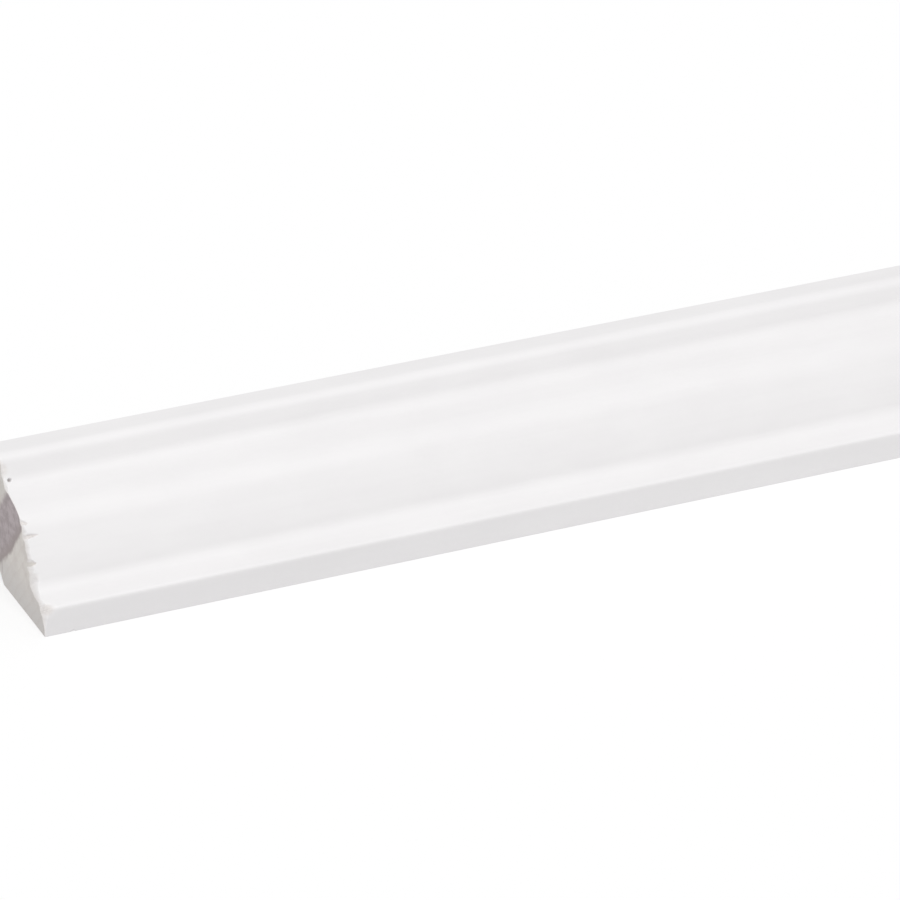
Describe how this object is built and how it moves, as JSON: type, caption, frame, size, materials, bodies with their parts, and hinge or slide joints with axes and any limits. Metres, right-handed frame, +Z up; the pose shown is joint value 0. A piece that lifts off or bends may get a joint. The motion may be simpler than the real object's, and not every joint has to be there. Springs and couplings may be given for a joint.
{
  "type": "crown moulding length",
  "caption": "Short straight length of small white-primed crown moulding with a large ovolo between two coves, square cut ends and two flat seats at right angles.",
  "frame": {"origin": "centre of the bounding box in plan, on the ground under the bottom seat", "axes": "+X along the length, from the chipped end to the plain end; +Y towards the upright back seat; +Z up; the moulded face looks towards -Y and up"},
  "size_m": [0.18, 0.025, 0.025],
  "materials": {
    "primed_pine": "matt white factory primer on pine, bare wood on the two sawn ends"
  },
  "bodies": {
    "root": {"crown_moulding": "primed_pine"}
  },
  "joints": []
}
